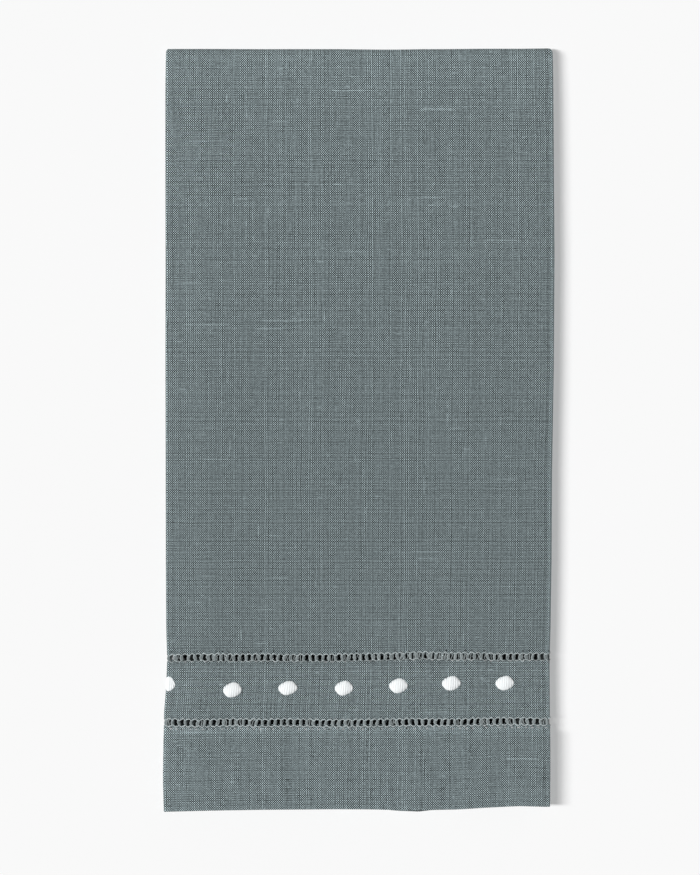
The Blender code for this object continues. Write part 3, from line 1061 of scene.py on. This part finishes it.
def painted_light_and_tone(linen, across, from_end):
    """How much paler or darker than its body the cloth is painted along its length, and on its lines of
    painted light.
    """
    lit_and_toned = [linen.ramp(from_end, start, end, 0.0, share) for start, end, share in LIGHT_AND_TONE_STRETCHES]
    for place, lines in ((from_end, PAINTED_LIGHT_LINES_ALONG), (across, PAINTED_LIGHT_LINES_ACROSS)):
        for middle, inner, outer, share in lines:
            lit_and_toned.append(linen.ramp(linen.away(place, middle), inner, outer, share, 0.0))
    return linen.plus(*lit_and_toned)


def clearness(linen, across, from_end):
    """How clearly the weave shows: most in the hems and towards the crest, least in the right fold."""
    stretches = [linen.ramp(from_end, *stretch) for stretch in CLEAR_STRETCHES]
    on_fold = linen.ramp(linen.away(across, RIGHT_FOLD_PAINTED_LIGHT), *RIGHT_FOLD_PAINTED_LIGHT_HALF, RIGHT_FOLD_PAINTED_LIGHT_CLEAR, 1.0)
    return linen.times(linen.plus(*stretches, CLEAR_BODY), on_fold)


def count_threads(linen, place, wandering, sway, step):
    """Number of the thread that a swaying place falls on, and the height of its round back there."""
    scale, detail, reach = sway
    aside = linen.ramp(linen.noise(wandering, scale, detail, SWAY_ROUGHNESS), 0, 1, -reach, reach)
    threads = linen.calc("DIVIDE", linen.plus(place, aside), step)
    back = linen.calc("SINE", linen.times(linen.calc("FRACT", threads), math.pi))
    return linen.calc("FLOOR", threads), back


def every_other(linen, number):
    """1 for every other thread and -1 for the rest. An even shift keeps the numbers above 0."""
    return linen.ramp(linen.calc("MODULO", linen.plus(number, 10000.0), 2.0), 0, 1, -1.0, 1.0)


def thread_ways(linen, number, along, seed, pace, contrast):
    """How much paler than the cloth each thread is, with its slubs, and how far it stands out of it."""
    slow = linen.noise(linen.combine(linen.times(number, 3.7), linen.times(along, pace), seed), 1.0, 3.0)
    beside = linen.chance(linen.plus(number, 1.0), seed)
    own = linen.times(linen.minus(linen.chance(number, seed), beside), contrast)
    slubs = linen.times(linen.ramp(slow, 0.69, 0.76), SLUB_TONE)
    return linen.plus(own, slubs), linen.ramp(slow, 0.32, 0.58, 0.55, 1.25)


def long_slubs(linen, weft_number, across):
    """The few long thick places of the weft threads."""
    place = linen.combine(linen.times(weft_number, 5.3), linen.times(across, 28.0), 9.0)
    return linen.ramp(linen.noise(place, 1.0, 0.0), 0.785, 0.82, 0.0, LONG_SLUB_TONE)


def crossings(linen, across, along, warp, weft, strength):
    """The woven figure, where warp and weft lie on top by turns, with painted highlights on the round backs
    of the paler crossings and soft lines along both.
    """
    (warp_number, warp_back), (weft_number, weft_back) = warp, weft
    warp_side, weft_side = every_other(linen, warp_number), every_other(linen, weft_number)
    warp_round = linen.calc("POWER", warp_back, WARP_ROUND)
    backs = linen.times(warp_round, linen.calc("POWER", weft_back, WEFT_ROUND))
    on_top = linen.plus(linen.times(warp_side, weft_side), 1.0)
    figure = linen.minus(linen.times(on_top, linen.times(backs, BACKS_TO_ONE)), 1.0)
    streaks = linen.noise(linen.combine(across, linen.times(along, 0.06), 2.0), 120.0)
    warp_lines = linen.times(warp_side, linen.ramp(streaks, 0.35, 0.65, *WARP_LINES))
    return linen.plus(linen.times(figure, strength), warp_lines, linen.times(weft_side, WEFT_LINES))


def linen_finish():
    """Plain weave on the flat cloth's places: every thread has its own tone, sways and has slubs."""
    linen = Finish("plain_woven_linen", 0.86)
    across, along = flat_places(linen)
    from_end = linen.calc("MINIMUM", along, linen.minus(FLAT_LENGTH, along))
    by_warp = linen.combine(across, linen.times(along, WARP_STRETCH))
    by_weft = linen.combine(along, linen.times(across, WEFT_STRETCH), 4.0)
    warp = count_threads(linen, across, by_warp, WARP_SWAY, WARP_STEP)
    weft = count_threads(linen, along, by_weft, WEFT_SWAY, WEFT_STEP)
    (warp_number, warp_back), (weft_number, weft_back) = warp, weft

    warp_tone, warp_strength = thread_ways(linen, warp_number, along, *WARP_WAYS)
    weft_tone, weft_strength = thread_ways(linen, weft_number, across, *WEFT_WAYS)
    weft_tone = linen.plus(weft_tone, long_slubs(linen, weft_number, across))
    strength = linen.plus(linen.times(warp_strength, WARP_SHARE), linen.times(weft_strength, WEFT_SHARE))
    clear_here = clearness(linen, across, from_end)
    clear = linen.times(linen.ramp(linen.noise(by_warp, PATCH_SCALE), *PATCHES), clear_here)
    weave = linen.times(crossings(linen, across, along, warp, weft, strength), clear)
    cell = linen.ramp(linen.chance(warp_number, weft_number), 0, 1, -CELL_CONTRAST, CELL_CONTRAST)
    uneven = linen.times(linen.plus(warp_tone, weft_tone, cell), clear_here)
    height = linen.times(linen.calc("POWER", warp_back, 0.6), linen.calc("POWER", weft_back, 0.6))

    # The ramp of height paints the threads' sides a little darker: painted shade of their roundness
    shade = linen.plus(weave, uneven, linen.ramp(height, 0, 1, 0.98, 1.01))
    shade = linen.calc("MINIMUM", linen.calc("MAXIMUM", shade, DARKEST_SHADE), PALEST_SHADE)
    # The shade is toned down where the weave is clearest, then gets the painted light and tone along the
    # cloth and the painted shade of the needle holes
    shade = linen.times(
        shade,
        linen.ramp(clear, *CLEAR_TONE),
        linen.plus(painted_light_and_tone(linen, across, from_end), 1.0),
        linen.ramp(needle_hole_painted_shade(linen, across, from_end), 0, 1, 1.0, NEEDLE_HOLE_SHADE),
    )
    linen.paint(LINEN_COLOUR[:3], shade)
    linen.bump(height, 0.5, BUMP_DEPTH)
    return linen.material


def thread_finish(name, pale, dark, roughness, fineness, uneven=0.15):
    """Spun thread: each thread's own tone, with fine streaks. Tones under 0 are darkened: painted shade in
    the folds.
    """
    thread = Finish(name, roughness)
    place = thread.add("ShaderNodeTexCoord", 3)
    tone = thread.add("ShaderNodeAttribute", 2, {"attribute_name": "tone"})
    fine = thread.noise(place, fineness, 3.0, 0.6)
    share = thread.plus(tone, thread.ramp(fine, 0.3, 0.7, -uneven, uneven))
    thread.paint(thread.blend(share, dark, pale), thread.ramp(tone, -1, 0, 0.08, 1.0))
    thread.bump(fine, 0.4, BUMP_DEPTH)
    return thread.material


def floor_finish():
    """A pale matte floor that lights itself in part."""
    floor = Finish("pale_floor", 0.9)
    tone = floor.noise(floor.add("ShaderNodeTexCoord", 3), 6.0)
    floor.set(floor.shader.inputs["Base Color"], floor.blend(tone, FLOOR_DARK, FLOOR_PALE))
    floor.shader.inputs["Specular IOR Level"].default_value = 0.0
    floor.shader.inputs["Emission Color"].default_value = WHITE_LIGHT
    floor.shader.inputs["Emission Strength"].default_value = FLOOR_GLOW
    return floor.material


# Studio


def make_floor():
    mesh = bmesh.new()
    bmesh.ops.create_grid(mesh, x_segments=2, y_segments=2, size=FLOOR_HALF)
    data = bpy.data.meshes.new("floor")
    mesh.to_mesh(data)
    mesh.free()
    data.materials.append(floor_finish())
    floor = bpy.data.objects.new("floor", data)
    bpy.context.scene.collection.objects.link(floor)


def make_lights():
    """A tall narrow lamp on the left, made of suns one above the other, and an even pale room."""
    for number, height in enumerate(LAMP_HEIGHTS, start=1):
        data = bpy.data.lights.new(f"left_lamp_{number}", "SUN")
        data.energy = LAMP_LIGHT / len(LAMP_HEIGHTS) / math.sin(height)
        data.angle = LAMP_WIDTH
        lamp = bpy.data.objects.new(f"left_lamp_{number}", data)
        towards = Vector((math.cos(height), 0.0, -math.sin(height)))
        lamp.rotation_euler = towards.to_track_quat("-Z", "Y").to_euler()
        bpy.context.scene.collection.objects.link(lamp)
    room = bpy.data.worlds.new("room")
    room.use_nodes = True
    background = room.node_tree.nodes["Background"]
    background.inputs["Color"].default_value = WHITE_LIGHT
    background.inputs["Strength"].default_value = ROOM_LIGHT
    bpy.context.scene.world = room


def make_camera():
    """Looks straight down on the towel."""
    data = bpy.data.cameras.new("camera")
    data.sensor_width = SENSOR
    data.lens = SENSOR * CAMERA_REACH / PICTURE_SPAN
    camera = bpy.data.objects.new("camera", data)
    camera.location = CAMERA_PLACE
    bpy.context.scene.collection.objects.link(camera)
    bpy.context.scene.camera = camera
    bpy.context.scene.view_settings.view_transform = "Standard"


def main():
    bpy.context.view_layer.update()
    make_camera()
    make_lights()
    make_floor()
    cloth = make_cloth(linen_finish())
    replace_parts(cloth, "towel")
    bundle_thread = thread_finish("drawn_linen_thread", BUNDLE_PALE, BUNDLE_DARK, 0.7, 900)
    sewing_thread = thread_finish("hem_sewing_thread", SEWING_PALE, SEWING_DARK, 0.6, 700)
    white_thread = thread_finish("white_embroidery_thread", WHITE_PALE, WHITE_DARK, 0.5, 1200)
    arch_thread = thread_finish("hemstitch_linen_thread", ARCH_PALE, BUNDLE_DARK, 0.6, 1000, 0.5)
    going_with = make_bundles(bundle_thread) + make_hemstitch(arch_thread, sewing_thread)
    stock = thread_stock(11, 6)
    going_with += [make_dot(number, row, stock, white_thread) for number, row in enumerate(DOTS, start=1)]


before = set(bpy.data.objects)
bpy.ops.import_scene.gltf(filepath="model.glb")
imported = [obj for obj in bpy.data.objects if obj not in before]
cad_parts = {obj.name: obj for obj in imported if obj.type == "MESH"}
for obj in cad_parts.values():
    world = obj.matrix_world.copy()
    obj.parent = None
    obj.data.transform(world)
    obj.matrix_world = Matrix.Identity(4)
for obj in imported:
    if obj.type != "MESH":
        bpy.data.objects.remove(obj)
main()
